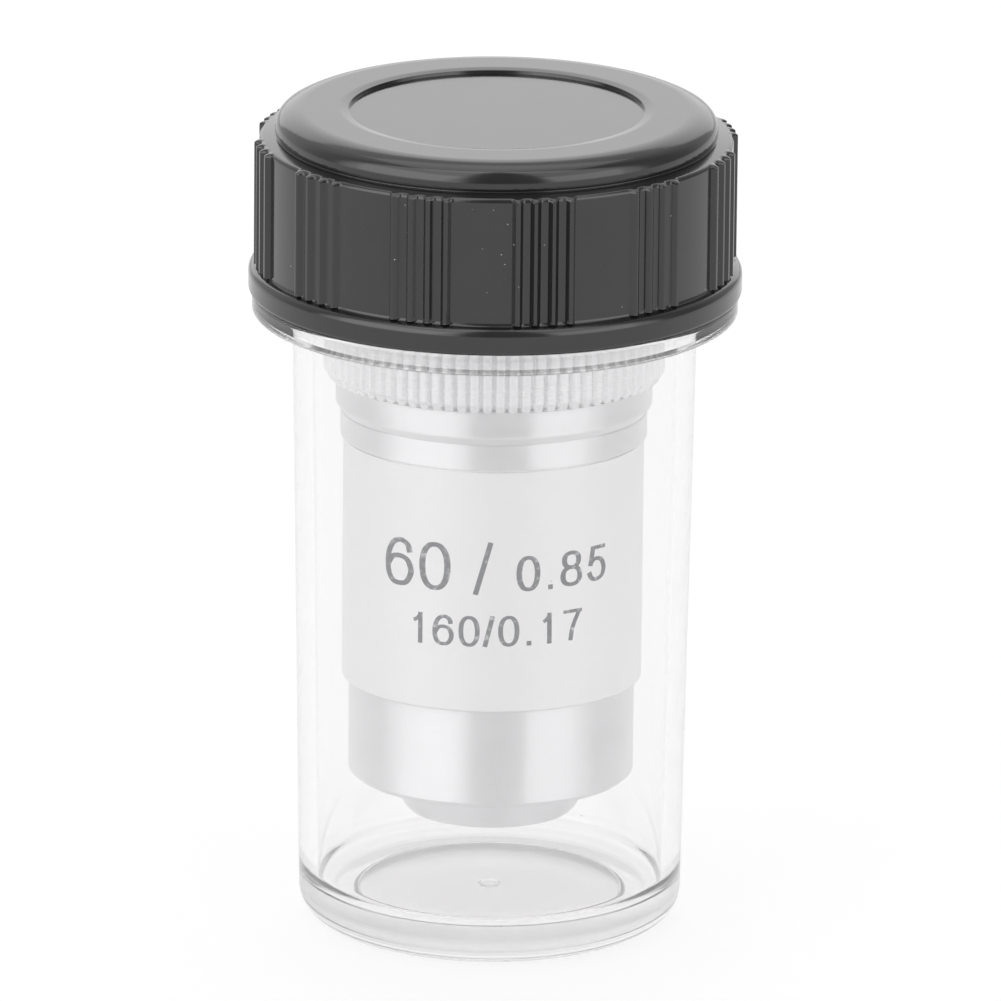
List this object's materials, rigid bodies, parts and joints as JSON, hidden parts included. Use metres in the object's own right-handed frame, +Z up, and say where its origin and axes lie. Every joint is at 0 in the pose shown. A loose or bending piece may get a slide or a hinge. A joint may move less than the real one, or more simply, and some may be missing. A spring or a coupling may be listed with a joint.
{
  "type": "microscope objective",
  "caption": "Microscope objective with a knurled collar, satin sleeve and sprung nose, screwed nose down into the black ribbed cap of its clear round case.",
  "frame": {"origin": "centre of the ring that the clear case stands on", "axes": "+Z up along the optical axis, from the case's foot to its cap; the objective hangs nose down; the engraved numbers face -Y"},
  "size_m": [0.0346, 0.0346, 0.059],
  "materials": {
    "clear_plastic": "gloss",
    "black_plastic": "gloss",
    "polished_metal": "polished",
    "satin_metal": "satin",
    "cell_brass": "satin",
    "black_metal": "matte",
    "spring_steel": "satin",
    "crown_glass": "gloss",
    "flint_glass": "gloss"
  },
  "bodies": {
    "vial": {"case_vial": "clear_plastic"},
    "objective": {"mount_body": "polished_metal", "outer_sleeve": "satin_metal", "guide_screw": "spring_steel", "spring": "spring_steel", "rear_diaphragm": "black_metal"},
    "cap": {"case_cap": "black_plastic"},
    "nose": {"nose_barrel": "polished_metal", "stop_ring": "cell_brass", "lens_tube": "cell_brass", "front_lens_cell": "polished_metal", "front_lens": "crown_glass", "second_cell": "cell_brass", "second_lens": "crown_glass", "middle_cell": "cell_brass", "middle_crown_lens": "crown_glass", "middle_flint_lens": "flint_glass", "rear_cell": "cell_brass", "rear_crown_lens": "crown_glass", "rear_flint_lens": "flint_glass", "lens_lock_ring": "black_metal"}
  },
  "joints": [
    {"name": "objective_lift", "type": "slide", "parent": "vial", "child": "objective", "axis": [0, 0, 1], "range_m": [0, 0.05]},
    {"name": "cap_turn", "type": "hinge", "parent": "objective", "child": "cap", "pos_m": [0, 0, 0.0528], "axis": [0, 0, 1], "range_deg": [0, 720]},
    {"name": "nose_retract", "type": "slide", "parent": "objective", "child": "nose", "axis": [0, 0, 1], "range_m": [0, 0.002], "stiffness_N_per_m": 400, "springref_m": -0.0035, "deforming": ["spring"]}
  ]
}
